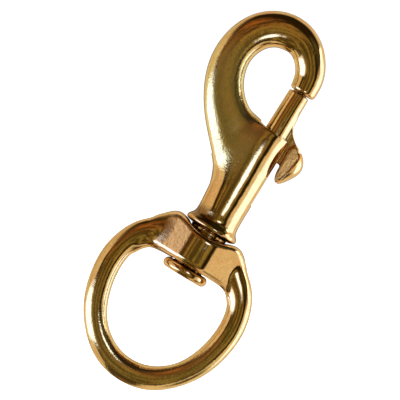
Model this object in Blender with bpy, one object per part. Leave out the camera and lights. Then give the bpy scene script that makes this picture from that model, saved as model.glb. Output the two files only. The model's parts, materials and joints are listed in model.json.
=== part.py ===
"""Swivel-eye bolt snap in cast brass, 89 mm (3 1/2 in) long with a 25 mm (1 in) eye.

Frame: metres, +Z up the swivel axis from the eye towards the hook, +X towards the thumb lever, -Y is the front.
The origin is on the swivel axis, at the middle of the eye's inner bearing facet, where a strap or rope pulls.

Pieces: hook_body (hook, web, spring barrel, neck and flange, one casting), bolt (round rod with its cast-on thumb
lever), bolt_spring, swivel_rivet, swivel_eye. The add_ and cut_ objects are their boolean helpers.

Sizes are in mm. Heights are from the datum, a level near the top of the eye's head.
"""

import math

import bmesh
import bpy
import numpy as np
from mathutils import Matrix

MM = 0.001

# ---------------------------------------------------------------- shared dimensions
DATUM_HEIGHT = 32.4  # the datum's height above the origin
BORE_X = 1.15  # axis of bore, bolt and spring, parallel to the swivel axis
BORE_BOTTOM = 5.05
MOUTH_Z = 26.7  # top of the barrel
RIVET_SHANK_R = 3.5

# ---------------------------------------------------------------- mesh resolution
ROWS_PER_SPAN = 2  # loft rows to each span between stations
BAR_SIDES = 20  # hook limb and eye ring
ROUND_SIDES = 40  # barrel, flange, rivet and their bores
EDGE_SEGMENTS = 2  # rounded plate edges
SMOOTH_ANGLE = math.radians(35)


# ---------------------------------------------------------------- scene, materials and objects
def clear_scene():
    for obj in list(bpy.data.objects):
        bpy.data.objects.remove(obj, do_unlink=True)
    for mesh in list(bpy.data.meshes):
        bpy.data.meshes.remove(mesh)


def metal(name, colour, roughness):
    """Metallic material of a linear RGB colour."""
    mat = bpy.data.materials.new(name)
    mat.use_nodes = True
    shader = mat.node_tree.nodes["Principled BSDF"]
    shader.inputs["Base Color"].default_value = (*colour, 1.0)
    shader.inputs["Metallic"].default_value = 1.0
    shader.inputs["Roughness"].default_value = roughness
    mat.diffuse_color = (*colour, 1.0)
    return mat


def polished_brass():
    return metal("polished_brass", colour=(0.79, 0.50, 0.17), roughness=0.14)


def spring_bronze():
    return metal("spring_bronze", colour=(0.62, 0.38, 0.15), roughness=0.35)


def add_object(name, bm, axis_x):
    """Object from a bmesh drawn in mm about the axis X = axis_x, with heights from the datum."""
    bmesh.ops.recalc_face_normals(bm, faces=bm.faces)
    mesh = bpy.data.meshes.new(name)
    bm.to_mesh(mesh)
    bm.free()
    mesh.transform(Matrix.Scale(MM, 4))
    obj = bpy.data.objects.new(name, mesh)
    bpy.context.scene.collection.objects.link(obj)
    obj.location = (axis_x * MM, 0.0, DATUM_HEIGHT * MM)
    return obj


def add_piece(name, bm, mat, axis_x=0.0):
    """A visible piece of the snap."""
    obj = add_object(name, bm, axis_x)
    obj.data.materials.append(mat)
    obj.data.shade_smooth()
    obj.data.set_sharp_from_angle(angle=SMOOTH_ANGLE)
    return obj


def add_helper(name, bm, axis_x=0.0):
    """An operand for a boolean, hidden in renders."""
    obj = add_object(name, bm, axis_x)
    obj.hide_render = True
    obj.display_type = "WIRE"
    return obj


def combine(obj, operation, helpers):
    """One boolean modifier for each helper, in order."""
    for helper in helpers:
        mod = obj.modifiers.new(f"{operation.lower()}_{helper.name}", "BOOLEAN")
        mod.operation = operation
        mod.solver = "EXACT"
        mod.object = helper


# ---------------------------------------------------------------- shapes
def side_angles(sides):
    """Angles of a polygon's corners, half a step round so that its flats face the axes."""
    return [(j + 0.5) * 2 * math.pi / sides for j in range(sides)]


def skin(rings, closed=False):
    """Surface through rings of points, joined end to end if closed and capped if not."""
    bm = bmesh.new()
    rings = [[bm.verts.new(point) for point in ring] for ring in rings]
    pairs = list(zip(rings, rings[1:]))
    if closed:
        pairs.append((rings[-1], rings[0]))
    for ring, following in pairs:
        for j in range(len(ring)):
            k = (j + 1) % len(ring)
            bm.faces.new((ring[j], ring[k], following[k], following[j]))
    if not closed:
        bm.faces.new(rings[0])
        bm.faces.new(rings[-1])
    return bm


def spline(stations, closed=False):
    """Catmull-Rom rows. Open splines include the stations; closed ones start a half step past the first."""
    points = np.array(stations, float)
    if closed:
        spans = len(points)
        padded = [points[-1], *points, points[0], points[1]]
        steps = np.arange(spans * ROWS_PER_SPAN) + 0.5
    else:
        spans = len(points) - 1
        padded = [2 * points[0] - points[1], *points, 2 * points[-1] - points[-2]]
        steps = np.arange(spans * ROWS_PER_SPAN + 1)
    rows = []
    for t in steps / ROWS_PER_SPAN:
        span = min(int(t), spans - 1)
        f = t - span
        before, start, end, after = padded[span : span + 4]
        rows.append(
            0.5
            * (
                2 * start
                + (end - before) * f
                + (2 * before - 5 * start + 4 * end - after) * f**2
                + (3 * start - before - 3 * end + after) * f**3
            )
        )
    return np.array(rows)


def rail_loft(rows, sides, closed=False):
    """Skin of superellipse rings between two rails in the XZ plane.

    A row is outer x, outer z, inner x, inner z, half depth in Y, squareness (2 is an ellipse).
    """
    rings = []
    for outer_x, outer_z, inner_x, inner_z, half_depth, square in rows:
        outer, inner = np.array([outer_x, outer_z]), np.array([inner_x, inner_z])
        middle, half = (outer + inner) / 2, (outer - inner) / 2
        power = 2 / square
        reach = math.cos(math.pi / sides) ** power  # puts the flats on the rails
        ring = []
        for angle in side_angles(sides):
            c, s = math.cos(angle), math.sin(angle)
            across = math.copysign(abs(c) ** power, c) / reach
            deep = math.copysign(abs(s) ** power, s) / reach
            x, z = middle + half * across
            ring.append((x, half_depth * deep, z))
        rings.append(ring)
    return skin(rings, closed)


def lathe(profile, sides=ROUND_SIDES):
    """Solid of revolution about Z, from a profile of (radius, z) that runs upwards."""
    return skin(
        [
            [(radius * math.cos(a), radius * math.sin(a), z) for a in side_angles(sides)]
            for radius, z in profile
        ]
    )


def cylinder(radius, bottom, top):
    return lathe([(radius, bottom), (radius, top)])


def plate(outline, half, edge=0.0):
    """Plate from an outline of (x, z), from -half to +half in Y, its outline edges rounded by edge."""
    bm = bmesh.new()
    face = bm.faces.new([bm.verts.new((x, -half, z)) for x, z in outline])
    made = bmesh.ops.extrude_face_region(bm, geom=[face])
    moved = [item for item in made["geom"] if isinstance(item, bmesh.types.BMVert)]
    bmesh.ops.translate(bm, verts=moved, vec=(0, 2 * half, 0))
    bmesh.ops.recalc_face_normals(bm, faces=bm.faces)
    if edge:
        rim = [e for e in bm.edges if abs(e.verts[0].co.y - e.verts[1].co.y) < 1e-6]
        bmesh.ops.bevel(
            bm, geom=rim, offset=edge, segments=EDGE_SEGMENTS, profile=0.5, affect="EDGES"
        )
    return bm


def box(low, high):
    """Box between two opposite corners."""
    bm = bmesh.new()
    bmesh.ops.create_cube(bm, size=1.0)
    for vert in bm.verts:
        vert.co = [low[i] if vert.co[i] < 0 else high[i] for i in range(3)]
    return bm


# ---------------------------------------------------------------- swivel eye
RING_HALF_DEPTH = 2.75
SHOULDER_HALF_DEPTH = RING_HALF_DEPTH + 0.05  # where the ring runs into the head
HEAD_HALF_DEPTH = 7.0  # boss round the rivet
HEAD_DISH = -0.45  # the head's top is dished in the middle and rises to its corners
HEAD_BOTTOM = -8.3
SPOT_FACE_R = 4.75
EYE_BORE_R = 3.8
EYE_BORE_BOTTOM = -14.0
EYE_CUT_TOP = 4.0  # clear above the head

# Right half of the ring, from the head's centre down to the bottom.
EYE_STATIONS = [
    # outer x, z, inner x, z, half depth, squareness
    (0.0, HEAD_DISH, 0.0, HEAD_BOTTOM, HEAD_HALF_DEPTH, 4.6),
    (3.3, -0.25, 2.7, HEAD_BOTTOM, 6.2, 4.6),
    (6.7, 0.78, 5.3, HEAD_BOTTOM, 4.4, 4.2),
    (9.4, -0.15, 7.9, -8.4, 3.05, 3.2),
    (12.1, -2.85, 9.8, -8.95, SHOULDER_HALF_DEPTH, 2.5),
    (14.9, -5.7, 11.15, -10.3, SHOULDER_HALF_DEPTH, 2.15),
    (17.1, -9.9, 12.1, -12.2, RING_HALF_DEPTH, 2.1),
    (18.2, -15.2, 12.65, -15.8, RING_HALF_DEPTH, 2.1),
    (17.75, -20.8, 12.25, -20.2, RING_HALF_DEPTH, 2.1),
    (16.1, -26.2, 11.0, -24.4, RING_HALF_DEPTH, 2.1),
    (12.9, -31.3, 8.75, -28.2, RING_HALF_DEPTH, 2.1),
    (8.1, -35.6, 5.3, -31.0, RING_HALF_DEPTH, 2.1),
    (2.75, -37.6, 1.75, -32.25, RING_HALF_DEPTH, 2.1),
]


def make_eye(mat):
    """D-shaped ring whose bar swells into a bored head."""
    mirrored = [
        (-outer_x, outer_z, -inner_x, inner_z, depth, square)
        for outer_x, outer_z, inner_x, inner_z, depth, square in EYE_STATIONS[:0:-1]
    ]
    rows = spline(EYE_STATIONS + mirrored, closed=True)
    # The two rows either side of the ring's lowest point make a flat facet at the origin.
    lowest = np.argsort(rows[:, 3])[:2]
    rows[lowest, 3] = -DATUM_HEIGHT
    eye = add_piece("swivel_eye", rail_loft(rows, BAR_SIDES, closed=True), mat)
    bore = add_helper("cut_eye_bore", cylinder(EYE_BORE_R, EYE_BORE_BOTTOM, EYE_CUT_TOP))
    spot_face = add_helper("cut_spot_face", cylinder(SPOT_FACE_R, HEAD_DISH, EYE_CUT_TOP))
    combine(eye, "DIFFERENCE", (bore, spot_face))


# ---------------------------------------------------------------- swivel rivet
RIVET_HEAD_R = 5.4
RIVET_HEAD_TOP = -8.6
RIVET_HEAD_BOTTOM = -10.85
RIVET_CROWN_R = 0.45 * RIVET_HEAD_R  # low raised middle of the head's underside
RIVET_CROWN_HEIGHT = 0.12
RIVET_TOP = 4.75
RIVET_CHAMFER = 0.4


def make_rivet(mat):
    """Shank with a round-edged head at its lower end, inside the eye."""
    middle = (RIVET_HEAD_TOP + RIVET_HEAD_BOTTOM) / 2
    half = (RIVET_HEAD_TOP - RIVET_HEAD_BOTTOM) / 2
    rim = [
        (RIVET_HEAD_R - half * (1 - math.cos(a)), middle + half * math.sin(a))
        for a in map(math.radians, range(-90, 91, 30))
    ]
    profile = [
        (RIVET_CROWN_R, RIVET_HEAD_BOTTOM - RIVET_CROWN_HEIGHT),
        *rim,
        (RIVET_SHANK_R, RIVET_HEAD_TOP),
        (RIVET_SHANK_R, RIVET_TOP - RIVET_CHAMFER),
        (RIVET_SHANK_R - RIVET_CHAMFER, RIVET_TOP),
    ]
    add_piece("swivel_rivet", lathe(profile), mat)


# ---------------------------------------------------------------- hook body
BARREL_X = 0.17  # the barrel's axis, nearly on the swivel axis
BARREL_R = 4.83
BARREL_BOTTOM = 1.1
BORE_R = 2.85
BORE_OVERLAP = 0.1  # the bore runs this far into the rivet socket
MOUTH_CUT_TOP = 31.0  # clear above the mouth
SLOT_HALF = 1.25
SLOT_LENGTH = 8.0  # from the bore's axis out through the barrel's wall
SLOT_BOTTOM = 10.4
SOCKET_R = RIVET_SHANK_R + 0.2
SOCKET_CUT_BOTTOM = -2.0  # clear below the neck
WEB_HALF_DEPTH = 3.9
WEB_EDGE = 0.9
CROWN_Z = 43.6  # bearing facet inside the hook's crown
NOSE_Z = 37.3
NOSE_SOCKET_R = 2.15
NOSE_SOCKET_TOP = NOSE_Z + 0.8
NOSE_SOCKET_SIDES = 28

# The limb from the neck, up the side away from the lever, over the crown and down to the nose.
LIMB_STATIONS = [
    # outer x, z, inner x, z, half depth, squareness
    (-3.6, 4.6, 2.3, 4.6, 4.3, 2.2),
    (-4.3, 7.4, 2.3, 8.0, 4.35, 2.3),
    (-4.9, 9.8, 2.3, 11.0, 4.4, 2.45),
    (-6.5, 13.5, 0.4, 17.6, 4.5, 2.6),
    (-10.1, 17.5, -3.6, 22.9, 4.5, 2.7),
    (-13.8, 21.5, -7.2, 26.9, 4.4, 2.7),
    (-16.8, 25.7, -9.6, 30.4, 4.25, 2.7),
    (-18.9, 30.0, -10.95, 33.2, 4.1, 2.7),
    (-20.0, 34.4, -11.75, 35.9, 4.0, 2.6),
    (-20.0, 38.8, -11.75, 38.6, 3.9, 2.5),
    (-18.8, 43.4, -10.75, 41.2, 3.8, 2.4),
    (-15.9, 47.8, -8.9, 43.0, 3.65, 2.3),
    (-11.0, 50.9, -6.9, 43.65, 3.5, 2.2),
    (-5.2, 51.35, -5.1, 43.55, 3.4, 2.15),
    (-0.3, 49.05, -3.5, 42.5, 3.25, 2.1),
    (2.9, 45.3, -2.35, 41.0, 3.1, 2.1),
    (4.35, 41.3, -1.8, 39.4, 3.0, 2.05),
    (4.4, 38.9, -1.5, 38.2, 2.95, 2.0),
    (3.9, 37.65, -1.1, 37.55, 2.8, 2.0),
]
NOSE_END = (3.35, NOSE_Z, -0.8, NOSE_Z, 2.3, 2.0)  # same columns, added after the spline

# Web between barrel and limb, as (x, z).
WEB_OUTLINE = [
    (1.6, 8.0), (1.9, 26.55), (-0.6, 26.62), (-3.2, 27.2), (-5.8, 28.2),
    (-7.9, 29.5), (-9.2, 30.8), (-10.2, 32.3), (-11.4, 33.9), (-13.0, 33.6),
    (-14.4, 29.4), (-14.0, 24.6), (-9.6, 19.2), (-5.4, 14.4), (-3.2, 8.0),
]

BARREL_PROFILE = [
    # radius, z
    (BARREL_R, BARREL_BOTTOM),
    (BARREL_R, MOUTH_Z - 0.4),
    (BARREL_R - 0.12, MOUTH_Z - 0.12),
    (BARREL_R - 0.4, MOUTH_Z),
]

NECK_COLLAR_R = 4.35
FLANGE_BOTTOM = 0.8
FLANGE_PROFILE = [
    # radius, z, from the neck collar up over the flange
    (NECK_COLLAR_R, -0.15), (NECK_COLLAR_R, FLANGE_BOTTOM), (5.85, FLANGE_BOTTOM),
    (6.1, 1.1), (6.2, 1.55), (5.95, 2.1), (5.5, 2.6), (5.15, 3.15), (4.9, 3.8), (4.6, 5.2),
]

NOSE_SOCKET_PROFILE = [
    # radius, z, from clear below the nose
    (NOSE_SOCKET_R, NOSE_Z - 1.5),
    (NOSE_SOCKET_R, NOSE_SOCKET_TOP - 0.2),
    (NOSE_SOCKET_R - 0.3, NOSE_SOCKET_TOP),
]


def limb_rows():
    rows = np.vstack([spline(LIMB_STATIONS), [NOSE_END]])
    crown = int(np.argmax(rows[:, 3]))
    rows[crown : crown + 2, 3] = CROWN_Z  # flat facet inside the crown
    return rows


def make_hook(mat):
    """Hook, web, barrel and flanged neck, bored for bolt and rivet and slotted for the lever."""
    hook = add_piece("hook_body", rail_loft(limb_rows(), BAR_SIDES), mat)
    barrel = add_helper("add_barrel", lathe(BARREL_PROFILE), BARREL_X)
    web = add_helper("add_web", plate(WEB_OUTLINE, WEB_HALF_DEPTH, WEB_EDGE))
    flange = add_helper("add_flange", lathe(FLANGE_PROFILE))
    bore = add_helper(
        "cut_bore", cylinder(BORE_R, BORE_BOTTOM - BORE_OVERLAP, MOUTH_CUT_TOP), BORE_X
    )
    socket = add_helper("cut_rivet_socket", cylinder(SOCKET_R, SOCKET_CUT_BOTTOM, BORE_BOTTOM))
    slot = add_helper(
        "cut_lever_slot",
        box(
            low=(BORE_X, -SLOT_HALF, SLOT_BOTTOM),
            high=(BORE_X + SLOT_LENGTH, SLOT_HALF, MOUTH_CUT_TOP),
        ),
    )
    nose = add_helper("cut_nose_socket", lathe(NOSE_SOCKET_PROFILE, NOSE_SOCKET_SIDES), BORE_X)
    combine(hook, "UNION", (web, barrel, flange))
    combine(hook, "DIFFERENCE", (bore, socket, slot, nose))


# ---------------------------------------------------------------- bolt with its thumb lever
BOLT_TIP_R = 2.42
BOLT_R = 2.58
BOLT_TIP_Z = 37.55
BOLT_END_Z = 20.0
BOLT_END_CHAMFER = 0.35
BOLT_SIDES = 32
PAD_SIDES = 16
LEVER_HALF = 0.95  # web of the lever, which runs in the slot
STEM_HALF = 1.5  # the lever's plate, outside the barrel
STEM_EDGE = 0.35

BOLT_PROFILE = [
    # radius, z: chamfered lower end, tapering above the mouth to a stepped tip
    (BOLT_R - BOLT_END_CHAMFER, BOLT_END_Z),
    (BOLT_R, BOLT_END_Z + BOLT_END_CHAMFER),
    (BOLT_R, MOUTH_Z),
    (BOLT_TIP_R, BOLT_TIP_Z - 1.2),
    (BOLT_TIP_R - 0.12, BOLT_TIP_Z - 0.85),
    (BOLT_TIP_R - 0.6, BOLT_TIP_Z - 0.6),
    (BOLT_TIP_R - 0.85, BOLT_TIP_Z),
]

# The lever's tables have x from the swivel axis. Outlines are (x, z).
LEVER_WEB_OUTLINE = [
    (1.0, 21.3), (7.0, 21.3), (7.9, 22.6), (8.0, 25.9), (6.4, 27.1),
    (5.0, 28.35), (4.2, 29.6), (3.68, 31.0), (3.2, 32.6), (1.0, 32.6),
]
STEM_OUTLINE = [
    (5.7, 22.6), (5.75, 20.4), (6.0, 18.7), (6.6, 17.75), (7.2, 18.1), (7.8, 19.6),
    (8.3, 21.4), (8.4, 23.2), (8.2, 24.9), (7.6, 25.8), (6.8, 26.4), (5.75, 25.6),
]
PAD_STATIONS = [
    # outer x, z, inner x, z, half width, squareness, from the top down
    (8.4, 26.0, 7.6, 25.5, 1.3, 2.0),
    (9.5, 24.95, 7.8, 24.4, 2.4, 2.2),
    (10.3, 23.3, 7.8, 23.0, 3.0, 2.4),
    (10.2, 21.6, 7.6, 21.4, 3.1, 2.4),
    (9.35, 19.9, 7.3, 19.9, 2.8, 2.3),
    (8.3, 18.35, 6.9, 18.6, 2.1, 2.2),
    (7.4, 17.55, 6.65, 17.8, 1.2, 2.0),
]


def from_bolt_axis(table, x_columns):
    """The table with its x columns measured from the bolt's axis."""
    shifted = np.array(table)
    shifted[:, x_columns] -= BORE_X
    return shifted


def make_bolt(mat):
    """Round rod with a lever that reaches out through the slot to a thumb pad."""
    bolt = add_piece("bolt", lathe(BOLT_PROFILE, BOLT_SIDES), mat, BORE_X)
    web_outline = from_bolt_axis(LEVER_WEB_OUTLINE, [0])
    web = add_helper("add_lever_web", plate(web_outline, LEVER_HALF), BORE_X)
    pad_rows = spline(from_bolt_axis(PAD_STATIONS, [0, 2]))
    pad = add_helper("add_thumb_pad", rail_loft(pad_rows, PAD_SIDES), BORE_X)
    stem_outline = from_bolt_axis(STEM_OUTLINE, [0])
    stem = add_helper("add_lever_stem", plate(stem_outline, STEM_HALF, STEM_EDGE), BORE_X)
    combine(bolt, "UNION", (web, stem, pad))


# ---------------------------------------------------------------- compression spring
SPRING_R = 1.95  # to the middle of the wire
WIRE_R = 0.27
SPRING_BOTTOM = 5.25
SPRING_TOP = 19.7
SPRING_TURNS = 8.0
CLOSED_TURNS = 0.9  # at each end
CLOSED_PITCH = 2 * WIRE_R + 0.12
STEPS_PER_TURN = 14
WIRE_SIDES = 6


def spring_path():
    """Middle of the wire, rising slowly over the closed turns and evenly between them."""
    height = SPRING_TOP - SPRING_BOTTOM - 2 * WIRE_R
    closed_rise = CLOSED_TURNS * CLOSED_PITCH
    turns = np.arange(int(SPRING_TURNS * STEPS_PER_TURN) + 1) / STEPS_PER_TURN
    rise = np.interp(
        turns,
        [0.0, CLOSED_TURNS, SPRING_TURNS - CLOSED_TURNS, SPRING_TURNS],
        [0.0, closed_rise, height - closed_rise, height],
    )
    angles = 2 * math.pi * turns
    return np.column_stack(
        [SPRING_R * np.cos(angles), SPRING_R * np.sin(angles), SPRING_BOTTOM + WIRE_R + rise]
    )


def unit(vector):
    return vector / np.linalg.norm(vector)


def make_spring(mat):
    """Open-coil helix with a nearly full closed turn at each end."""
    path = spring_path()
    last = len(path) - 1
    rings = []
    for i, point in enumerate(path):
        tangent = unit(path[min(i + 1, last)] - path[max(i - 1, 0)])
        radial = unit(np.array([point[0], point[1], 0.0]))
        normal = unit(np.cross(tangent, radial))
        outward = np.cross(normal, tangent)
        rings.append(
            [
                point + WIRE_R * (math.cos(a) * outward + math.sin(a) * normal)
                for a in side_angles(WIRE_SIDES)
            ]
        )
    add_piece("bolt_spring", skin(rings), mat, BORE_X)


def main():
    clear_scene()
    brass = polished_brass()
    bronze = spring_bronze()
    make_eye(brass)
    make_rivet(brass)
    make_hook(brass)
    make_bolt(brass)
    make_spring(bronze)


main()
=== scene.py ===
"""Cast brass swivel-eye bolt snap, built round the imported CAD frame.

It stands along Z in the XZ plane. The ring hangs below the swivel joint and the hook rises above it, its back toward
-X. The bolt slides along Z in the hook's barrel, with its lever and thumb pad toward +X. The camera looks along +Y.

Each casting is a fine mesh pulled from a signed field, negative inside. Bars are superellipse sections swept between
two rails, webs are rounded plates, and neighbours blend with small fillets.
Field code is in millimetres, with heights measured from the swivel joint.
"""

import json
import math

import bpy
import numpy as np
from mathutils import Matrix, Vector


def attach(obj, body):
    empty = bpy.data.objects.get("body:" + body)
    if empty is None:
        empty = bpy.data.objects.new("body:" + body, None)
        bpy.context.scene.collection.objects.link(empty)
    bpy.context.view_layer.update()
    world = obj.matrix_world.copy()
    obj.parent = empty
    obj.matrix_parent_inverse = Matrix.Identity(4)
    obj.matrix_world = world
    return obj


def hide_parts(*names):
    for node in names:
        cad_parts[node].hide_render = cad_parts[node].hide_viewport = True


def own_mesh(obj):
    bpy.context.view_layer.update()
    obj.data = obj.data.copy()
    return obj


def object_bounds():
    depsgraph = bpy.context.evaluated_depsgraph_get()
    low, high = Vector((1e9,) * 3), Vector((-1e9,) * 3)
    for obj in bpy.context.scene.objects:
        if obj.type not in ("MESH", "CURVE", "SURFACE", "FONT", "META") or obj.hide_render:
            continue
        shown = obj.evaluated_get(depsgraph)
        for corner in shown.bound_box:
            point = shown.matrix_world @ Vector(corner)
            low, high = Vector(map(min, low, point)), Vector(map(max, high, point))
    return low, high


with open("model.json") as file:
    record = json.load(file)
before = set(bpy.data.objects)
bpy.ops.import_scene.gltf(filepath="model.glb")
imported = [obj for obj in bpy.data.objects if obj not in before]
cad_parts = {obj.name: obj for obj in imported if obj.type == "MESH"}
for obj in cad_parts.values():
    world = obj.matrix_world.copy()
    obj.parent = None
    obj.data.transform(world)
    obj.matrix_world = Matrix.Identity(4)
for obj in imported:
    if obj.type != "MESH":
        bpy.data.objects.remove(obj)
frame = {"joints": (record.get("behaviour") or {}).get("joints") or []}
cad_box = [list(corner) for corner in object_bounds()]

MM = 0.001
joints = {joint["name"]: joint for joint in frame["joints"]}
HEAD_TOP = joints["swivel"]["pos_m"][2] / MM  # the zero height of the fields, in the frame
BARREL_X = 1.15  # axis of the bolt, its bore and its spring
MOUTH_Z = 26.7  # top of the barrel


# ================================================================ splines and swept bars
class Rows:
    """C2 cubic spline through a table of stations, one unit of place per station."""

    def __init__(self, stations, closed):
        points = np.array(stations, float)
        count = len(points)
        self.closed, self.count = closed, count
        matrix = np.zeros((count, count))
        target = np.zeros_like(points)
        for i in range(count):
            if not closed and i in (0, count - 1):
                matrix[i, i] = 1
                continue
            before, after = i - 1, (i + 1) % count
            matrix[i, before] += 1
            matrix[i, i] += 4
            matrix[i, after] += 1
            target[i] = 6 * (points[before] - 2 * points[i] + points[after])
        self.points, self.bends = points, np.linalg.solve(matrix, target)
        self.top = count if closed else count - 1

    def at(self, place):
        """Values and their derivatives at each place."""
        cell = np.floor(place).astype(int)
        if not self.closed:
            cell = np.clip(cell, 0, self.count - 2)
        part = (place - cell)[:, None]
        rest = 1 - part
        here, after = cell % self.count, (cell + 1) % self.count
        start, end = self.points[here], self.points[after]
        bend0, bend1 = self.bends[here], self.bends[after]
        values = start * rest + end * part
        values = values + ((rest**3 - rest) * bend0 + (part**3 - part) * bend1) / 6
        slopes = end - start + ((1 - 3 * rest**2) * bend0 + (3 * part**2 - 1) * bend1) / 6
        return values, slopes


def mid_and_half(values):
    """Middle of each section line, and the vector from there to its outer end."""
    outer, inner = values[:, 0:2], values[:, 2:4]
    return (outer + inner) / 2, (outer - inner) / 2


class Band:
    """A bar swept between two rails in the XZ plane. A station is outer x, z, inner x, z, then its profile sizes."""

    def __init__(self, stations, closed):
        self.rows = Rows(stations, closed)
        self.samples = np.linspace(0, self.rows.top, self.rows.top * 24 + 1)
        self.mid, _ = mid_and_half(self.rows.at(self.samples)[0])

    def nearest_sample(self, points):
        found = np.empty(len(points))
        chunk = 20000  # points at a time, to bound the memory
        for i in range(0, len(points), chunk):
            some = points[i : i + chunk]
            gap = (some[:, None, 0] - self.mid[None, :, 0]) ** 2
            gap += (some[:, None, 1] - self.mid[None, :, 1]) ** 2
            found[i : i + chunk] = self.samples[gap.argmin(1)]
        return found

    def locate(self, points, guess):
        """Place whose section line passes through each point, by Newton's method."""
        place = self.nearest_sample(points) if guess is None else guess.copy()
        for _ in range(4):
            if not self.rows.closed:
                place = np.clip(place, 0, self.rows.top)
            values, slopes = self.rows.at(place)
            mid, half = mid_and_half(values)
            mid_slope, half_slope = mid_and_half(slopes)
            away = points - mid
            miss = away[:, 0] * half[:, 1] - away[:, 1] * half[:, 0]
            rate = (
                -mid_slope[:, 0] * half[:, 1]
                + mid_slope[:, 1] * half[:, 0]
                + away[:, 0] * half_slope[:, 1]
                - away[:, 1] * half_slope[:, 0]
            )
            rate = np.where(np.abs(rate) < 1e-6, 1e-6, rate)
            place = place - np.clip(miss / rate, -0.25, 0.25)
        if not self.rows.closed:
            place = np.clip(place, 0, self.rows.top)
        return place

    def plan(self, x, z, guess):
        """Per point of the XZ plane: its place, where it is across the bar (-1 to 1 from inner to outer rail), the half
        width, the profile sizes, and how far past an open band's ends it is."""
        points = np.stack([x, z], 1)
        place = self.locate(points, guess)
        values, _ = self.rows.at(place)
        mid, half = mid_and_half(values)
        width = np.hypot(half[:, 0], half[:, 1])
        away = points - mid
        past = np.abs(away[:, 0] * half[:, 1] - away[:, 1] * half[:, 0]) / width
        ended = (place <= 1e-9) | (place >= self.rows.top - 1e-9)
        return {
            "place": place,
            "across": (away * half).sum(1) / width**2,
            "width": width,
            "profile": values[:, 4:],
            "past_end": np.where(ended, past, 0.0),
        }


# ================================================================ field shapes
def section(plan, y):
    """Distance-like field of a bar's superellipse section. The profile is half depth and squareness."""
    depth, square = plan["profile"].T
    width = plan["width"]
    across, deep = np.abs(plan["across"]) + 1e-6, np.abs(y) / depth + 1e-6
    size = (across**square + deep**square) ** (1 / square)
    slope = np.hypot(across ** (square - 1) / width, deep ** (square - 1) / depth)
    slope = np.maximum(slope * size ** (1 - square), 0.6 / np.maximum(width, depth))
    return (size - 1) / slope


def capped(field, plan):
    """Closes a bar's field past its open ends."""
    past = plan["past_end"]
    return np.where(past > 0, np.hypot(np.maximum(field, 0), past), field)


def join(one, other, fillet):
    share = np.clip(0.5 + 0.5 * (other - one) / fillet, 0, 1)
    return other * (1 - share) + one * share - fillet * share * (1 - share)


def overlap(one, other, fillet):
    return -join(-one, -other, fillet)


def carve(body, tool, fillet):
    return overlap(body, -tool, fillet)


def smooth_outline(points, steps):
    """Signed distance to the closed curve through the points, as a function of x and z."""
    corners, _ = Rows(points, True).at(np.arange(len(points) * steps) / steps)

    def distance(x, z):
        best = np.full(x.shape, 1e9)
        inside = np.zeros(x.shape, bool)
        for (x0, z0), (x1, z1) in zip(corners, np.roll(corners, -1, 0)):
            run, rise = x1 - x0, z1 - z0
            along = ((x - x0) * run + (z - z0) * rise) / (run * run + rise * rise)
            along = np.clip(along, 0, 1)
            best = np.minimum(best, np.hypot(x - x0 - along * run, z - z0 - along * rise))
            crosses = (z0 > z) != (z1 > z)
            inside ^= crosses & (x < (x1 - x0) * (z - z0) / (z1 - z0 + 1e-12) + x0)
        return np.where(inside, -best, best)

    return distance


def rounded(one, other, edge):
    """Overlap of two fields, with the corner between them rounded by edge."""
    one, other = one + edge, other + edge
    corner = np.hypot(np.maximum(one, 0), np.maximum(other, 0))
    return corner + np.minimum(np.maximum(one, other), 0) - edge


def slab(outline, height, half, edge):
    """Plate of an outline, half its thickness to each side of height 0."""
    return rounded(outline, np.abs(height) - half, edge)


def cylinder(x, y, axis_x, radius):
    return np.hypot(x - axis_x, y) - radius


def drum(x, y, z, axis_x, radius, mid_z, half, edge):
    """Upright cylinder with rounded rims."""
    return slab(cylinder(x, y, axis_x, radius), z - mid_z, half, edge)


# ================================================================ surface from a field
def surface_net(field, low, pitch):
    """Quad mesh of the zero level of a field sampled on a grid of this pitch from low."""
    inside = field < 0
    cells = np.array(field.shape) - 1
    count = np.zeros(cells, np.int8)
    for i, j, k in np.ndindex(2, 2, 2):
        count += inside[i : cells[0] + i, j : cells[1] + j, k : cells[2] + k]
    active = (count > 0) & (count < 8)
    index = np.full(active.shape, -1, np.int64)
    index[active] = np.arange(active.sum())
    base = np.argwhere(active)
    # a vertex is the mean of the crossings on its cell's edges
    total = np.zeros((len(base), 3))
    hits = np.zeros(len(base))
    for axis in range(3):
        for j, k in np.ndindex(2, 2):
            start = np.zeros(3, int)
            start[(axis + 1) % 3], start[(axis + 2) % 3] = j, k
            end = start.copy()
            end[axis] = 1
            first, second = field[tuple((base + start).T)], field[tuple((base + end).T)]
            crosses = (first < 0) != (second < 0)
            along = np.where(crosses, first / np.where(crosses, first - second, 1), 0)
            crossing = np.tile(start.astype(float), (len(base), 1))
            crossing[:, axis] += along
            total[crosses] += crossing[crosses]
            hits[crosses] += 1
    vertices = total / hits[:, None] + base
    # a quad joins the four cells round each crossed grid edge
    quads = []
    for axis in range(3):
        sides = [(axis + 1) % 3, (axis + 2) % 3]
        edges = np.argwhere(np.diff(inside, axis=axis))
        spot = edges[:, sides]
        edges = edges[((spot > 0) & (spot < cells[sides])).all(1)]
        corners = []
        for offset in ((-1, -1), (0, -1), (0, 0), (-1, 0)):
            cell = edges.copy()
            cell[:, sides] += offset
            corners.append(index[tuple(cell.T)])
        quad = np.stack(corners, 1)
        flip = ~inside[tuple(edges.T)]
        quad[flip] = quad[flip][:, ::-1]
        quads.append(quad)
    return low + pitch * vertices, np.vstack(quads)


def to_frame(points):
    """Field millimetres to frame metres."""
    points = points * MM
    points[:, 2] += HEAD_TOP * MM
    return points.tolist()


def new_object(name, points, faces):
    mesh = bpy.data.meshes.new(name)
    mesh.from_pydata(points, [], faces)
    obj = bpy.data.objects.new(name, mesh)
    bpy.context.scene.collection.objects.link(obj)
    return obj


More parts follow.
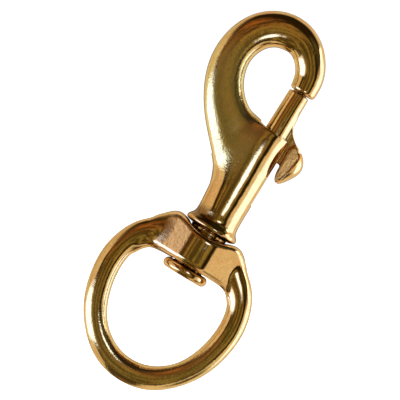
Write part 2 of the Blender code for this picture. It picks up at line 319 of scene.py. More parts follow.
def field_mesh(name, plan, body, low, high, pitch):
    """Object whose surface is body = 0, its vertices and normals put exactly on the field. plan holds what depends on
    x and z alone."""
    low, high = np.array(low, float), np.array(high, float)
    shape = np.ceil((high - low) / pitch).astype(int) + 1
    xs, ys, zs = (low[i] + pitch * np.arange(shape[i]) for i in range(3))
    grid_x, grid_z = (grid.ravel() for grid in np.meshgrid(xs, zs, indexing="ij"))
    flat = plan(grid_x, grid_z, None)
    field = np.empty(tuple(shape))
    for j, y in enumerate(ys):
        layer = body(grid_x, np.full(grid_x.size, y), grid_z, flat)
        field[:, j, :] = layer.reshape(len(xs), len(zs))
    points, quads = surface_net(field, low, pitch)

    def value(spots, guess=None):
        fields = plan(spots[:, 0], spots[:, 2], guess)
        return body(*spots.T, fields), fields

    def gradient(spots):
        base, fields = value(spots)
        guess = fields.get("place")
        reach = 0.012
        slope = np.empty_like(spots)
        for axis in range(3):
            step = np.zeros(3)
            step[axis] = reach
            ahead, _ = value(spots + step, guess)
            behind, _ = value(spots - step, guess)
            slope[:, axis] = (ahead - behind) / (2 * reach)
        return base, slope

    def project(spots, most):
        """Moves points onto the surface, by no more than most."""
        base, slope = gradient(spots)
        step = -(base / np.maximum((slope**2).sum(1), 0.05))[:, None] * slope
        size = np.linalg.norm(step, axis=1)
        step *= np.minimum(1, most / np.maximum(size, 1e-9))[:, None]
        return spots + step

    edges = np.vstack([quads[:, [i, (i + 1) % 4]] for i in range(4)])
    degree = np.bincount(edges.ravel(), minlength=len(points)).astype(float)
    points = project(points, pitch * 0.5)
    for _ in range(3):
        # evens out the mesh, then puts it back on the surface
        total = np.zeros_like(points)
        for here, there in ((0, 1), (1, 0)):
            for axis in range(3):
                total[:, axis] += np.bincount(
                    edges[:, here], weights=points[edges[:, there], axis], minlength=len(points)
                )
        points = points + 0.5 * (total / degree[:, None] - points)
        points = project(points, pitch * 0.5)
    points = project(points, pitch * 0.3)
    _, slope = gradient(points)
    normals = slope / np.maximum(np.linalg.norm(slope, axis=1), 1e-9)[:, None]

    obj = new_object(name, to_frame(points), quads.tolist())
    obj.data.update()
    obj.data.shade_smooth()
    obj.data.normals_split_custom_set_from_vertices(normals.tolist())
    return obj


# ================================================================ swivel eye
# half of the ring, from its top middle round +X to its bottom:
# outer x, z, inner x, z, half depth, squareness
EYE_HALF = [
    (0.0, -0.45, 0.0, -8.3, 2.75, 2.2),
    (3.3, -0.2, 2.7, -8.3, 2.75, 2.2),
    (6.75, 0.78, 5.3, -8.3, 2.75, 2.2),
    (9.4, -0.2, 7.9, -8.4, 2.75, 2.2),
    (12.1, -2.88, 9.8, -8.95, 2.75, 2.15),
    (14.8, -5.55, 11.15, -10.3, 2.75, 2.1),
    (17.1, -9.8, 12.1, -12.2, 2.75, 2.1),
    (18.2, -15.2, 12.65, -15.8, 2.75, 2.1),
    (17.75, -20.8, 12.25, -20.2, 2.75, 2.1),
    (16.1, -26.2, 11.0, -24.4, 2.75, 2.1),
    (12.9, -31.3, 8.75, -28.2, 2.75, 2.1),
    (8.1, -35.6, 5.3, -31.0, 2.75, 2.1),
    (2.75, -37.6, 1.75, -32.25, 2.75, 2.1),
]
EYE = Band(
    EYE_HALF + [(-out_x, out_z, -in_x, *rest) for out_x, out_z, in_x, *rest in EYE_HALF[:0:-1]],
    True,
)
BOSS_R = 7.0  # round the rivet; flat flanks run from it to the ring bar
FLANK = math.radians(30)
HEAD_HALF = 11.5  # reach of the boss and flanks along X
HEAD_LOW_Z = -11.5
HEAD_EDGE = 1.4
RECESS_R, RECESS_Z = 4.75, -0.45  # shallow recess in the top
RIVET_HOLE_R = 3.8


def eye_plan(x, z, guess):
    plan = EYE.plan(x, z, guess)
    off_axis = np.abs(x)
    tangent = BOSS_R * math.sin(FLANK)
    boss = np.sqrt(np.maximum(BOSS_R**2 - np.minimum(off_axis, tangent) ** 2, 0))
    flank = BOSS_R * math.cos(FLANK) - math.tan(FLANK) * (off_axis - tangent)
    plan["head_depth"] = np.maximum(np.where(off_axis < tangent, boss, flank), 0.3)
    return plan


def eye_body(x, y, z, plan):
    rails = (np.abs(plan["across"]) - 1) * plan["width"]
    faces = (np.abs(y) - plan["head_depth"]) * math.cos(FLANK)
    head = rounded(rails, faces, HEAD_EDGE)
    head = overlap(head, np.abs(x) - HEAD_HALF, fillet=0.5)
    head = overlap(head, HEAD_LOW_Z - z, fillet=0.5)
    # the fillet widens toward -X
    body = join(section(plan, y), head, fillet=0.35 + 1.3 * np.clip(-x / 8, 0, 1))
    recess = np.maximum(cylinder(x, y, 0, RECESS_R), RECESS_Z - z)
    body = carve(body, recess, fillet=0.15)
    hole = np.maximum(cylinder(x, y, 0, RIVET_HOLE_R), HEAD_LOW_Z - z)
    return carve(body, hole, fillet=0.2)


# ================================================================ hook
# the bar from the neck up round the back to the nose:
# outer x, z, inner x, z, half depth, squareness
LIMB = Band(
    [
        (-3.6, 4.6, 2.4, 5.6, 4.3, 2.2),
        (-4.3, 7.4, 2.4, 9.6, 4.35, 2.3),
        (-4.75, 9.4, 2.4, 14.0, 4.4, 2.45),
        (-5.4, 11.3, 2.2, 19.5, 4.5, 2.6),
        (-6.6, 13.65, 1.7, 24.2, 4.55, 2.7),
        (-8.35, 15.6, 0.3, 26.55, 4.6, 2.8),
        (-10.2, 17.55, -2.6, 27.15, 4.55, 2.8),
        (-13.8, 21.5, -6.2, 28.4, 4.45, 2.8),
        (-16.8, 25.7, -9.1, 30.6, 4.3, 2.8),
        (-18.9, 30.0, -10.85, 33.2, 4.15, 2.75),
        (-20.0, 34.4, -11.75, 35.9, 4.0, 2.7),
        (-20.0, 38.8, -11.75, 38.6, 3.9, 2.6),
        (-18.8, 43.4, -10.75, 41.2, 3.8, 2.45),
        (-15.9, 47.8, -8.9, 43.0, 3.65, 2.3),
        (-11.0, 50.9, -6.9, 43.6, 3.5, 2.2),
        (-5.2, 51.35, -5.1, 43.55, 3.4, 2.1),
        (-0.3, 49.05, -3.5, 42.5, 3.25, 2.1),
        (2.9, 45.3, -2.35, 41.0, 3.1, 2.0),
        (4.4, 41.3, -1.75, 39.4, 3.0, 2.0),
        (4.5, 37.3, -1.45, 37.3, 2.95, 2.0),
        (4.3, 34.5, -1.4, 35.0, 2.95, 2.0),
    ],
    False,
)
LIMB_LOW_Z = 0.9
NOSE_Z = 37.3  # flat end of the nose
GAP_Z = 32.0  # parts the nose from the barrel below it
BELL_LOW_Z, BELL_TOP_Z = 0.8, 8.2
BELL_STEP = 0.5
BELL = Rows(
    # radius at each step of height from BELL_LOW_Z
    [
        [5.75], [6.16], [6.16], [5.86], [5.45], [5.15], [4.95], [4.83],
        [4.73], [4.64], [4.55], [4.46], [4.37], [4.28], [4.19], [4.1],
    ],
    False,
)
BARREL = dict(
    axis_x=0.17,
    radius=4.83,
    mid_z=(BELL_LOW_Z + MOUTH_Z) / 2,
    half=(MOUTH_Z - BELL_LOW_Z) / 2,
    edge=0.35,
)
WEB_TOP_Z = 26.75  # flat over the barrel, rising toward -X
COLLAR_R, COLLAR_Z, COLLAR_HALF = 4.35, 0.5, 0.65
BORE_R, BORE_LOW_Z = 2.85, 5.0
SLOT_HALF, SLOT_LOW_Z = 1.25, 10.4  # slot through the barrel's +X side
CUT_TOP_Z = 34.0  # bore and slot stop short of the nose
RIVET_ROOM_R, RIVET_ROOM_TOP_Z = 3.7, 5.05
SOCKET_R, SOCKET_Z, SOCKET_HALF = 2.15, 37.1, 1.0  # in the nose, for the bolt's tip
CLEAR = 9.0  # distance that leaves a field as it is


def bell_field(x, y, z):
    place = np.clip((z - BELL_LOW_Z) / BELL_STEP, 0, BELL.top - 1e-6)
    radius, slope = BELL.at(place)
    bell = (np.hypot(x, y) - radius[:, 0]) / np.hypot(1, slope[:, 0] / BELL_STEP)
    bell = overlap(bell, BELL_LOW_Z - z, fillet=0.5)
    return overlap(bell, z - BELL_TOP_Z, fillet=0.3)


def hook_body(x, y, z, plan):
    limb = capped(section(plan, y), plan)
    nose_end = np.where((x > -8) & (z > GAP_Z), NOSE_Z - z, -CLEAR)
    limb = overlap(limb, nose_end, fillet=0.9)
    limb = overlap(limb, LIMB_LOW_Z - z, fillet=0.3)
    body = join(limb, drum(x, y, z, **BARREL), fillet=3.2)
    web_top = z - WEB_TOP_Z - 0.13 * np.maximum(-x, 0) ** 1.4
    body = overlap(body, np.where((x > -3) & (z < GAP_Z), web_top, -CLEAR), fillet=0.5)
    body = join(body, bell_field(x, y, z), fillet=0.7)
    collar = np.maximum(cylinder(x, y, 0, COLLAR_R), np.abs(z - COLLAR_Z) - COLLAR_HALF)
    body = join(body, collar, fillet=0.12)
    bore = overlap(cylinder(x, y, BARREL_X, BORE_R), BORE_LOW_Z - z, fillet=0.2)
    slot = np.maximum(np.maximum(np.abs(y) - SLOT_HALF, BARREL_X - x), SLOT_LOW_Z - z)
    for cut in (bore, slot):
        body = carve(body, np.where(z > CUT_TOP_Z, CLEAR, cut), fillet=0.3)
    rivet_room = np.maximum(cylinder(x, y, 0, RIVET_ROOM_R), z - RIVET_ROOM_TOP_Z)
    body = carve(body, rivet_room, fillet=0.15)
    socket = np.abs(z - SOCKET_Z) - SOCKET_HALF
    socket = np.maximum(cylinder(x, y, BARREL_X, SOCKET_R), socket)
    return carve(body, socket, fillet=0.25)


# ================================================================ bolt
# thumb pad, downward: outer x, z, inner x, z, half width along Y
PAD = Band(
    [
        (8.35, 26.1, 7.9, 25.6, 1.3),
        (9.5, 24.95, 8.35, 24.4, 2.4),
        (10.3, 23.3, 8.3, 23.0, 3.0),
        (10.2, 21.6, 8.05, 21.4, 3.1),
        (9.35, 19.9, 7.7, 19.9, 2.8),
        (8.3, 18.35, 7.25, 18.6, 2.1),
        (7.35, 17.45, 6.9, 17.75, 1.2),
    ],
    False,
)
# outlines of the pad's stem and of the lever's web: x, z
STEM = smooth_outline(
    [
        (5.72, 25.6), (5.68, 22.6), (5.72, 20.4), (5.98, 18.7), (6.6, 17.65), (7.15, 17.9),
        (7.75, 19.4), (8.2, 21.4), (8.45, 23.2), (8.4, 24.8), (7.9, 25.75), (6.8, 26.6),
    ],
    steps=8,
)
LEVER_WEB = smooth_outline(
    [
        (1.2, 21.3), (3.6, 21.28), (6.2, 21.3), (7.6, 22.2), (8.0, 24.2), (7.6, 26.15), (6.36, 27.1),
        (4.98, 28.3), (4.19, 29.5), (3.72, 30.9), (3.3, 32.4), (2.2, 33.2), (1.3, 31.0), (1.0, 26.0),
    ],
    steps=6,
)
ROD = dict(axis_x=BARREL_X, mid_z=28.5, half=8.5, edge=0.35)
ROD_R, ROD_TAPER, TAPER_LENGTH = 2.58, 0.16, 9.5  # narrows above the barrel's mouth
TIP = dict(axis_x=BARREL_X, radius=1.62, mid_z=37.0, half=0.55, edge=0.2)


def bolt_plan(x, z, guess):
    plan = PAD.plan(x, z, guess)
    plan["stem"] = STEM(x, z)
    plan["web"] = LEVER_WEB(x, z)
    return plan


def pad_field(y, plan):
    """Domed cap, bulging toward +X."""
    across, width, half_y = plan["across"], plan["width"], plan["profile"][:, 0]
    dome_r = (half_y**2 + 4 * width**2) / (4 * width)
    pad = np.hypot((across - 1) * width + dome_r, y) - dome_r
    return capped(overlap(pad, -(across + 1) * width, fillet=0.3), plan)


def bolt_body(x, y, z, plan):
    radius = ROD_R - ROD_TAPER * np.clip((z - MOUTH_Z) / TAPER_LENGTH, 0, 1)
    body = join(drum(x, y, z, radius=radius, **ROD), drum(x, y, z, **TIP), fillet=0.15)
    body = join(body, slab(plan["web"], y, half=0.98, edge=0.4), fillet=0.6)
    body = join(body, slab(plan["stem"], y, half=1.5, edge=0.45), fillet=0.5)
    return join(body, pad_field(y, plan), fillet=0.25)


# ================================================================ rivet
RIVET_HEAD = dict(axis_x=0, radius=5.4, mid_z=-9.72, half=1.13, edge=1.08)
RIVET_SHANK = dict(axis_x=0, radius=3.5, mid_z=-2.0, half=6.75, edge=0.4)


def no_plan(x, z, guess):
    return {}


def rivet_body(x, y, z, plan):
    return join(drum(x, y, z, **RIVET_HEAD), drum(x, y, z, **RIVET_SHANK), fillet=0.15)


# ================================================================ spring
COIL_R, WIRE_R = 1.95, 0.27
SPRING_LOW_Z, SPRING_TOP_Z = 5.25, 19.7
TURNS, CLOSED_TURNS = 8.0, 0.9  # closed turns at each end
CLOSED_PITCH = 2 * WIRE_R + 0.12
WIRE_SIDES, TURN_STEPS = 12, 36


def unit(vectors):
    return vectors / np.linalg.norm(vectors, axis=1)[:, None]


def spring_mesh(name):
    turn = np.linspace(0, TURNS, int(TURNS * TURN_STEPS) + 1)
    open_turns = TURNS - 2 * CLOSED_TURNS
    rise = (SPRING_TOP_Z - SPRING_LOW_Z - 2 * WIRE_R) - 2 * CLOSED_TURNS * CLOSED_PITCH
    height = (
        np.minimum(turn, CLOSED_TURNS) * CLOSED_PITCH
        + np.clip(turn - CLOSED_TURNS, 0, open_turns) * rise / open_turns
        + np.maximum(turn - (TURNS - CLOSED_TURNS), 0) * CLOSED_PITCH
    )
    path = np.stack(
        [
            BARREL_X + COIL_R * np.cos(2 * math.pi * turn),
            COIL_R * np.sin(2 * math.pi * turn),
            SPRING_LOW_Z + WIRE_R + height,
        ],
        1,
    )
    tangent = unit(np.gradient(path, axis=0))
    out = path - [BARREL_X, 0, 0]
    out[:, 2] = 0
    up = unit(np.cross(tangent, unit(out)))
    out = np.cross(up, tangent)
    points, faces = [], []
    for i in range(len(path)):
        for j in range(WIRE_SIDES):
            angle = 2 * math.pi * j / WIRE_SIDES
            spoke = math.cos(angle) * out[i] + math.sin(angle) * up[i]
            points.append(path[i] + WIRE_R * spoke)
    last = (len(path) - 1) * WIRE_SIDES
    for i in range(0, last, WIRE_SIDES):
        for j in range(WIRE_SIDES):
            k = (j + 1) % WIRE_SIDES
            faces.append((i + j, i + WIRE_SIDES + j, i + WIRE_SIDES + k, i + k))
    faces.append(tuple(range(WIRE_SIDES)))
    faces.append(tuple(reversed(range(last, last + WIRE_SIDES))))
    obj = new_object(name, to_frame(np.array(points)), faces)
    obj.data.validate()
    obj.data.shade_smooth()
    obj.data.set_sharp_from_angle(angle=math.radians(50))
    return obj


# ================================================================ build
coarse = 1.0
hook = field_mesh(
    "hook_casting", LIMB.plan, hook_body, (-21, -7, -1), (7.2, 7, 52.4), pitch=0.25 * coarse
)
eye = field_mesh(
    "swivel_eye_casting", eye_plan, eye_body, (-19, -7.7, -38.6), (19, 7.7, 1.8), pitch=0.25 * coarse
)
bolt = field_mesh(
    "bolt_and_lever", bolt_plan, bolt_body, (-2.2, -4, 16.5), (11.2, 4, 38.2), pitch=0.18 * coarse
)
rivet = field_mesh(
    "rivet_button", no_plan, rivet_body, (-6, -6, -11.4), (6, 6, 5.4), pitch=0.25 * coarse
)
spring = spring_mesh("compression_spring")


# ================================================================ materials
class Graph:
    """Short hand for building a shader graph."""

    def __init__(self, tree):
        self.tree = tree

    def put(self, socket, value):
        if isinstance(value, bpy.types.NodeSocket):
            self.tree.links.new(value, socket)
        else:
            socket.default_value = value

    def node(self, kind, values=(), **settings):
        """New node; values maps its inputs to sockets or numbers."""
        node = self.tree.nodes.new(kind)
        for name, value in settings.items():
            setattr(node, name, value)
        for key, value in dict(values).items():
            self.put(node.inputs[key], value)
        return node

    def math(self, operation, one, two=0.0, three=0.0, clamp=False):
        values = {0: one, 1: two, 2: three}
        node = self.node("ShaderNodeMath", values, operation=operation, use_clamp=clamp)
        return node.outputs[0]

    def chain(self, operation, terms):
        out = terms[0]
        for term in terms[1:]:
            out = self.math(operation, out, term)
        return out

    def add(self, *terms):
        return self.chain("ADD", terms)

    def mul(self, *terms):
        return self.chain("MULTIPLY", terms)

    def scaled(self, value, times, plus):
        return self.math("MULTIPLY_ADD", value, times, plus)

    def shift(self, vector, offset):
        return self.node("ShaderNodeVectorMath", {0: vector, 1: offset}, operation="ADD").outputs[0]

    def split(self, vector):
        return tuple(self.node("ShaderNodeSeparateXYZ", {0: vector}).outputs)

    def step(self, value, off, full):
        """0 at off, 1 at full, smooth between; either may be the larger."""
        rising = off <= full
        values = {
            "Value": value,
            "From Min": min(off, full),
            "From Max": max(off, full),
            "To Min": float(not rising),
            "To Max": float(rising),
        }
        return self.node("ShaderNodeMapRange", values, interpolation_type="SMOOTHSTEP").outputs[0]

    def between(self, value, rise, fall, base=0.0):
        """1 between the two ranges, which are measured from base."""
        up = self.step(value, off=base + rise[0], full=base + rise[1])
        return self.mul(up, self.step(value, off=base + fall[1], full=base + fall[0]))

    def mix(self, share, one, other):
        one, other = ((*c, 1.0) if isinstance(c, tuple) else c for c in (one, other))
        return self.node("ShaderNodeMix", {0: share, 6: one, 7: other}, data_type="RGBA").outputs[2]

    def paint(self, colour, layers):
        """Lays colours over a first one. A layer is mask, strength, colour."""
        for mask, strength, over in layers:
            share = mask if strength == 1 else self.mul(mask, strength)
            colour = self.mix(share, colour, over)
        return colour

    def noise(self, vector, scale, detail=2.0, rough=0.5):
        values = {"Vector": vector, "Scale": scale, "Detail": detail, "Roughness": rough}
        return self.node("ShaderNodeTexNoise", values).outputs["Fac"]

    def bump(self, shader, height):
        """Relief in millimetres."""
        node = self.node("ShaderNodeBump", {"Height": height, "Distance": MM})
        self.put(shader.inputs["Normal"], node.outputs[0])


def new_material(name):
    mat = bpy.data.materials.new(name)
    mat.use_nodes = True
    return mat, Graph(mat.node_tree)


def surface(name):
    """New material: its graph, its shader node, and the point on the object in millimetres."""
    mat, graph = new_material(name)
    metres = graph.node("ShaderNodeTexCoord").outputs["Object"]
    at = graph.node("ShaderNodeVectorMath", {0: metres, "Scale": 1 / MM}, operation="SCALE")
    return mat, graph, mat.node_tree.nodes["Principled BSDF"], at.outputs[0]


def scratches(graph, at):
    """Hairlines in two directions, in drifts."""
    drift = graph.step(graph.noise(at, scale=0.3), off=0.5, full=0.62)
    lines = []
    for turn, scale in (((0.3, 0.5, 0.2), (0.5, 9.0, 9.0)), ((0.2, -0.9, 0.8), (8.0, 0.45, 8.0))):
        stretch = {"Vector": at, "Rotation": turn, "Scale": scale}
        stretched = graph.node("ShaderNodeMapping", stretch).outputs[0]
        lines.append(graph.step(graph.noise(stretched, scale=1.0, rough=0.7), off=0.64, full=0.72))
    return graph.mul(graph.add(*lines), drift)


def dings(graph, at):
    cell = graph.node("ShaderNodeTexVoronoi", {"Vector": at, "Scale": 0.42}, feature="F1")
    spots = graph.step(cell.outputs["Distance"], off=0.17, full=0.05)
    some = graph.step(graph.noise(at, scale=0.42, detail=1.0), off=0.52, full=0.6)
    return graph.mul(spots, some)


def brass_material(
    name, grain=None, cast=None, shade_at=None, coarse_skin=0.2, skin=(0.86, 0.60, 0.34),
    wave=0.10, shine=0.045, seed=0.0,
):
    """Polished cast brass. grain, cast and the shade mask take the graph and the point's x and z in mm, and give masks
    for fine tumbled grain, for coarse as-cast skin and for painted shade that darkens a bright reflection. coarse_skin
    is the relief of the skin and wave that of the broad waves; shine is the least roughness; seed shifts the patterns."""
    mat, graph, shader, at = surface(name)
    step, mul = graph.step, graph.mul
    x, _, z = graph.split(at) if grain or cast or shade_at else (None, None, None)
    grain_mask, cast_mask, shade_mask = (
        mask(graph, x, z) if mask else 0.0 for mask in (grain, cast, shade_at)
    )
    at = graph.shift(at, (seed, seed * 1.7, seed * 0.6))
    fine = graph.noise(at, scale=2.7, detail=3.0, rough=0.65)
    finer = graph.noise(at, scale=6.5, rough=0.6)
    sparkle = graph.noise(at, scale=2.6, detail=1.0)
    broad = graph.noise(at, scale=0.17)
    patch = graph.noise(at, scale=0.55, detail=4.0, rough=0.6)
    lumps = graph.noise(at, scale=1.25)
    scratch = scratches(graph, at)

    relief = [mul(broad, wave * 2.2), mul(patch, wave * 0.16)]
    # pattern, added relief in the grain, relief everywhere
    for pattern, in_grain, plain in (
        (fine, 0.03, 0.003),
        (sparkle, 0.032, 0.0025),
        (finer, 0.009, 0.001),
        (lumps, 0.015, 0.004),
    ):
        relief.append(mul(pattern, graph.scaled(grain_mask, times=in_grain, plus=plain)))
    relief += [
        mul(lumps, cast_mask, coarse_skin),
        mul(fine, cast_mask, coarse_skin * 0.25),
        mul(scratch, -0.0022),
        mul(dings(graph, at), -0.02),
    ]
    graph.bump(shader, graph.add(*relief))

    tint = graph.noise(graph.shift(at, (31.0, 17.0, 5.0)), scale=0.21, detail=3.0, rough=0.6)
    dull = graph.scaled(grain_mask, times=0.22, plus=0.06)
    dull = mul(step(fine, off=0.52, full=0.68), dull)
    point = graph.node("ShaderNodeNewGeometry").outputs["Pointiness"]
    # occlusion from close surfaces, used to paint shade into tight corners
    open_air = graph.node("ShaderNodeAmbientOcclusion", {"Distance": 1.6 * MM}, samples=6)
    open_air = open_air.outputs["AO"]
    # painted shade: the shade mask, broken up by the patch noise
    painted_shade = graph.scaled(patch, times=0.8, plus=0.5)
    painted_shade = graph.math("MULTIPLY", shade_mask, painted_shade, clamp=True)
    layers = [
        (step(patch, off=0.35, full=0.65), 1, (0.77, 0.515, 0.235)),
        (step(broad, off=0.5, full=0.72), 0.6, (0.80, 0.50, 0.215)),
        (step(tint, off=0.5, full=0.66), 0.55, (0.62, 0.50, 0.23)),
        (step(tint, off=0.46, full=0.34), 0.5, (0.80, 0.45, 0.19)),
        (step(sparkle, off=0.5, full=0.7), 0.45, (0.50, 0.32, 0.125)),
        (dull, 1, (0.46, 0.35, 0.15)),
        (grain_mask, 0.55, (0.87, 0.77, 0.33)),
        (cast_mask, 0.8, skin),
        # edges rubbed brighter; painted shade in concave spots, in tight corners and under the shade mask
        (step(point, off=0.53, full=0.60), 0.5, (0.92, 0.70, 0.40)),
        (step(point, off=0.47, full=0.38), 0.6, (0.36, 0.20, 0.07)),
        (step(open_air, off=0.75, full=0.2), 0.7, (0.20, 0.10, 0.035)),
        # painted shade, dark brown where the shade mask is set
        (painted_shade, 1, (0.24, 0.135, 0.045)),
    ]
    graph.put(shader.inputs["Base Color"], graph.paint((0.83, 0.58, 0.285), layers))
    # mask, added roughness
    dulling = (
        (step(patch, off=0.4, full=0.75), 0.035),
        (painted_shade, 0.14),
        (grain_mask, 0.015),
        (cast_mask, 0.22),
        (scratch, 0.06),
        (fine, 0.025),
    )
    rough = graph.add(shine, *(mul(mask, extra) for mask, extra in dulling))
    graph.put(shader.inputs["Roughness"], rough)
    graph.put(shader.inputs["Metallic"], graph.scaled(grain_mask, times=-0.08, plus=1.0))
    return mat


def hook_grain(graph, x, z):
    """The broad face of the hook, less on the crown and the neck."""
    tall = graph.between(z, base=HEAD_TOP, rise=(11.0, 17.0), fall=(33.0, 45.0))
    return graph.mul(tall, graph.step(x, off=0.5, full=-3.0))


def ring_grain(graph, x, z):
    """Lower part of the ring."""
    return graph.mul(graph.step(z, off=HEAD_TOP - 14.0, full=HEAD_TOP - 26.0), 0.4)


def bell_shade(graph, x, z):
    """Painted shade in the hollow above the flange, where it darkens a bright reflection, and weaker beside the
    barrel's mouth.
    """
    bell = graph.between(z, base=HEAD_TOP, rise=(1.7, 2.3), fall=(4.0, 6.0))
    bell = graph.mul(bell, graph.step(x, off=-0.2, full=-1.2))
    web_top = graph.between(z, base=HEAD_TOP, rise=(22.0, 25.0), fall=(27.5, 29.0))
    beside = graph.between(x, rise=(-8.0, -5.0), fall=(-1.5, 1.0))
    return graph.add(bell, graph.mul(web_top, beside, 0.25))


def lever_cast(graph, x, z):
    """Sides of the lever, out past the barrel and in from the pad's rim."""
    right = graph.step(x, off=4.6, full=5.4)
    # distance along a line that leans with the pad
    height = graph.math("SUBTRACT", z, HEAD_TOP + 18.6)
    pad = graph.add(graph.mul(x, 0.96), graph.mul(height, -0.27))
    return graph.mul(right, graph.step(pad, off=7.4, full=6.9))


def facet_cast(graph, x, z):
    """The -X flank of the eye's head."""
    return graph.mul(
        graph.step(x, off=-2.6, full=-3.6),
        graph.step(x, off=-9.6, full=-8.4),
        graph.step(z, off=HEAD_TOP - 9.0, full=HEAD_TOP - 7.5),
        0.9,
    )


def wire_material(name):
    """Drawn steel with an oily tint."""
    mat, graph, shader, at = surface(name)
    drawn = graph.noise(at, scale=7.0, detail=3.0, rough=0.6)
    oil = graph.step(graph.noise(at, scale=1.1, detail=3.0, rough=0.6), off=0.4, full=0.7)
    graph.put(shader.inputs["Base Color"], graph.mix(oil, (0.56, 0.54, 0.50), (0.40, 0.33, 0.25)))
    graph.put(shader.inputs["Roughness"], graph.scaled(drawn, times=0.25, plus=0.17))
    graph.bump(shader, graph.mul(drawn, 0.01))
    shader.inputs["Metallic"].default_value = 1.0
    return mat


hook.data.materials.append(
    brass_material("tumbled_brass", grain=hook_grain, shade_at=bell_shade, wave=0.065)
)
bolt.data.materials.append(
    brass_material(
        "lever_brass", cast=lever_cast, coarse_skin=0.05, skin=(0.92, 0.50, 0.13),
        wave=0.05, seed=7.3,
    )
)
eye.data.materials.append(
    brass_material(
        "eye_brass", grain=ring_grain, cast=facet_cast, coarse_skin=0.06,
        skin=(1.0, 0.68, 0.38), wave=0.04, seed=23.0,
    )
)
rivet.data.materials.append(brass_material("rivet_brass", wave=0.06, shine=0.07, seed=41.0))
spring.data.materials.append(wire_material("spring_wire"))

# ================================================================ frame
for obj, body, node, slot in (
    (hook, "hook", "hook_body", "hook_brass"),
    (eye, "eye", "swivel_eye", "eye_brass"),
    (bolt, "bolt", "bolt", "bolt_brass"),
    (rivet, "hook", "swivel_rivet", "rivet_brass"),
    (spring, "hook", "bolt_spring", "spring_wire"),
):
    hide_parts(node)
    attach(obj, body)
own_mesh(spring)


# ================================================================ room
def room_colour(graph):
    """The room as a disc: its middle is behind the camera, its rim behind the object, right is +X and up is +Z."""
    coords = graph.node("ShaderNodeTexCoord").outputs["Generated"]
    x, y, z = graph.split(coords)
    turn = graph.math("DIVIDE", graph.math("ARCCOSINE", graph.mul(y, -1.0)), math.pi)
    flat = graph.math("SQRT", graph.add(graph.mul(x, x), graph.mul(z, z)))
    flat = graph.math("MAXIMUM", flat, 1e-4)
    disc_x, disc_z = (graph.math("DIVIDE", graph.mul(axis, turn), flat) for axis in (x, z))

    def side(toward, off, full):
        """Soft half plane."""
        along = graph.add(graph.mul(disc_x, toward[0]), graph.mul(disc_z, toward[1]))
        return graph.step(along, off, full)

    def disc(at, radii, soft):
        """Soft ellipse."""
        squares = []
        for axis, middle, radius in zip((disc_x, disc_z), at, radii):
            part = graph.math("DIVIDE", graph.math("SUBTRACT", axis, middle), radius)
            squares.append(graph.math("POWER", part, 2.0))
        distance = graph.math("SQRT", graph.add(*squares))
        return graph.step(distance, off=1 + soft, full=1 - soft)

    clutter = graph.noise(coords, scale=5.5, detail=3.0, rough=0.6)
    folds = graph.noise(coords, scale=3.1, detail=3.0, rough=0.6)
    drapes = graph.mul(graph.step(folds, off=0.46, full=0.60), side((-1, 0), off=-0.3, full=0.0))
    olive = graph.step(clutter, off=0.40, full=0.56)
    olive = graph.mix(olive, (0.34, 0.26, 0.075), (0.10, 0.072, 0.019))
    brown = graph.step(clutter, off=0.42, full=0.6)
    brown = graph.mix(brown, (0.31, 0.135, 0.04), (0.085, 0.05, 0.015))
    curtain = graph.mul(
        disc((-0.25, 0.13), (0.26, 0.16), soft=0.35),
        side((0, 1), off=-0.03, full=0.03),
        side((1, 0.8), off=-0.31, full=-0.27),
    )
    long_box = graph.mul(
        side((0.707, -0.707), off=0.06, full=0.02),
        side((0.707, -0.707), off=-0.22, full=-0.16),
        side((0.3, -0.95), off=-0.015, full=0.02),
    )
    glow = graph.mul(long_box, disc((-0.40, -0.36), (0.34, 0.34), soft=0.25))
    core = graph.mul(long_box, disc((-0.32, -0.25), (0.19, 0.20), soft=0.12))
    window = disc((0.52, 0.08), (0.125, 0.28), soft=0.25)
    window = graph.mul(window, side((1, 0.4), off=0.38, full=0.45))
    layers = [
        # warm left, whiter right
        (side((1, 0.25), off=0.15, full=0.5), 1, (0.93, 0.80, 0.58)),
        (drapes, 1, (0.66, 0.50, 0.28)),
        # the dark side of the room, behind the camera, darkest round its rim
        (disc((0.005, 0.0), (0.305, 0.42), soft=0.07), 1, (0.024, 0.016, 0.004)),
        (disc((-0.04, 0.30), (0.44, 0.27), soft=0.2), 1, (0.025, 0.016, 0.006)),
        (disc((0.0, -0.09), (0.23, 0.29), soft=0.10), 1, olive),
        (disc((0.0, -0.55), (0.15, 0.26), soft=0.25), 1, (0.075, 0.05, 0.014)),
        (disc((0.03, -0.62), (0.05, 0.05), soft=0.5), 1, (0.40, 0.16, 0.04)),
        (disc((0.38, -0.30), (0.08, 0.13), soft=0.6), 1, (0.11, 0.08, 0.03)),
        (curtain, 0.8, brown),
        (disc((-0.19, 0.19), (0.06, 0.04), soft=0.6), 1, (0.40, 0.15, 0.035)),
        (disc((0.22, 0.25), (0.08, 0.08), soft=0.7), 1, (0.10, 0.09, 0.032)),
        # long light on the left, low down
        (glow, 1, (0.96, 0.80, 0.56)),
        (core, 1, (1.75, 2.25, 3.7)),
        # window on the right, and a bright spot above it
        (window, 1, (1.6, 2.0, 2.6)),
        (disc((0.39, 0.33), (0.05, 0.10), soft=0.5), 1, (3, 3.2, 3.5)),
        # a dark doorway right behind the object, for the views from the back
        (graph.step(turn, off=0.80, full=0.90), 0.9, (0.12, 0.09, 0.045)),
    ]
    return graph.paint((0.87, 0.72, 0.50), layers)


def build_world():
    """The room lights the part; the camera sees plain white."""
    world = bpy.data.worlds.new("studio")
    bpy.context.scene.world = world
    world.use_nodes = True
    world.node_tree.nodes.clear()
    graph = Graph(world.node_tree)
    sky = graph.node("ShaderNodeBackground", {"Color": room_colour(graph)})
    white = graph.node("ShaderNodeBackground", {"Color": (1, 1, 1, 1), "Strength": 1.15})
    seen = graph.node("ShaderNodeLightPath").outputs["Is Camera Ray"]
    either = graph.node("ShaderNodeMixShader", {0: seen, 1: sky.outputs[0], 2: white.outputs[0]})
    graph.node("ShaderNodeOutputWorld", {"Surface": either.outputs[0]})


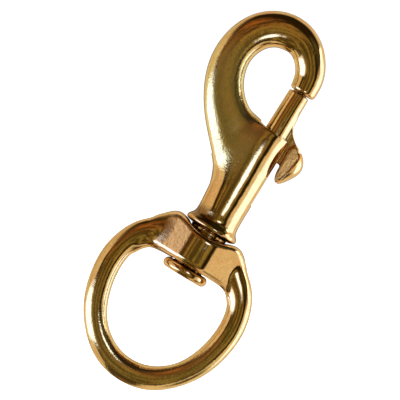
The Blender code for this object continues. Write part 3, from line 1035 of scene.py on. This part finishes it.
# ================================================================ floor, lamp and camera
FLOOR_Z = cad_box[0][2] - 0.012  # metres, well below the part
FLOOR_HALF = 6
LAMP_AT = Vector((26, -86, 48)) * MM
LAMP_AIM = Vector((0, 0, 41 * MM))
LAMP_R = 14 * MM
LAMP_SIDES = 48
FRAME_WIDTH = 0.0886  # the picture's width at the object, metres
CENTRE = Vector((-5.43 * MM, 0, (HEAD_TOP + 5.54) * MM))
DISTANCE = 0.75
ROLL = math.radians(31.4)


def build_floor():
    """Pale glowing sheet that neither shades the part nor shows in it."""
    corners = ((-1, -1), (1, -1), (1, 1), (-1, 1))
    points = [(x * FLOOR_HALF, y * FLOOR_HALF, FLOOR_Z) for x, y in corners]
    floor = new_object("floor", points, [(0, 1, 2, 3)])
    mat, _ = new_material("floor_paper")
    paper = mat.node_tree.nodes["Principled BSDF"]
    for name, value in (
        ("Base Color", (0.9, 0.9, 0.89, 1)),
        ("Roughness", 0.9),
        ("Specular IOR Level", 0.0),
        ("Emission Color", (1, 1, 1, 1)),
        ("Emission Strength", 1.2),
    ):
        paper.inputs[name].default_value = value
    floor.data.materials.append(mat)
    floor.visible_glossy = False
    floor.visible_diffuse = False
    floor.visible_shadow = False


def build_lamp():
    """Small disc lamp close to the object, on the +X side of the camera, fading out to its rim."""
    rim = LAMP_R * 1.5
    angles = [k * math.pi / (LAMP_SIDES / 2) for k in range(LAMP_SIDES)]
    points = [(rim * math.cos(angle), rim * math.sin(angle), 0) for angle in angles]
    lamp = new_object("lamp", points, [tuple(range(LAMP_SIDES))])
    lamp.location = LAMP_AT
    lamp.rotation_euler = (LAMP_AIM - LAMP_AT).to_track_quat("Z", "Y").to_euler()
    mat, graph = new_material("lamp")
    mat.node_tree.nodes.clear()
    place = graph.node("ShaderNodeTexCoord").outputs["Object"]
    spread = graph.node("ShaderNodeVectorMath", {0: place}, operation="LENGTH").outputs["Value"]
    glow = graph.node("ShaderNodeEmission", {"Color": (0.53, 0.65, 1.0, 1), "Strength": 4.0})
    clear = graph.node("ShaderNodeBsdfTransparent")
    lit = graph.step(spread, off=LAMP_R * 1.45, full=LAMP_R * 0.55)
    fade = graph.node("ShaderNodeMixShader", {0: lit, 1: clear.outputs[0], 2: glow.outputs[0]})
    graph.node("ShaderNodeOutputMaterial", {"Surface": fade.outputs[0]})
    lamp.data.materials.append(mat)
    lamp.visible_camera = False
    lamp.visible_shadow = False


def build_camera():
    lens = bpy.data.cameras.new("camera")
    lens.sensor_width = 36
    lens.lens = 36 * DISTANCE / FRAME_WIDTH
    lens.clip_start = 0.05
    camera = bpy.data.objects.new("camera", lens)
    bpy.context.scene.collection.objects.link(camera)
    camera.matrix_world = (
        Matrix.Translation(CENTRE + Vector((0, -DISTANCE, 0)))
        @ Matrix.Rotation(-ROLL, 4, "Y")
        @ Matrix.Rotation(math.radians(90), 4, "X")
    )
    bpy.context.scene.camera = camera


build_world()
build_floor()
build_lamp()
build_camera()
bpy.context.scene.view_settings.view_transform = "Standard"
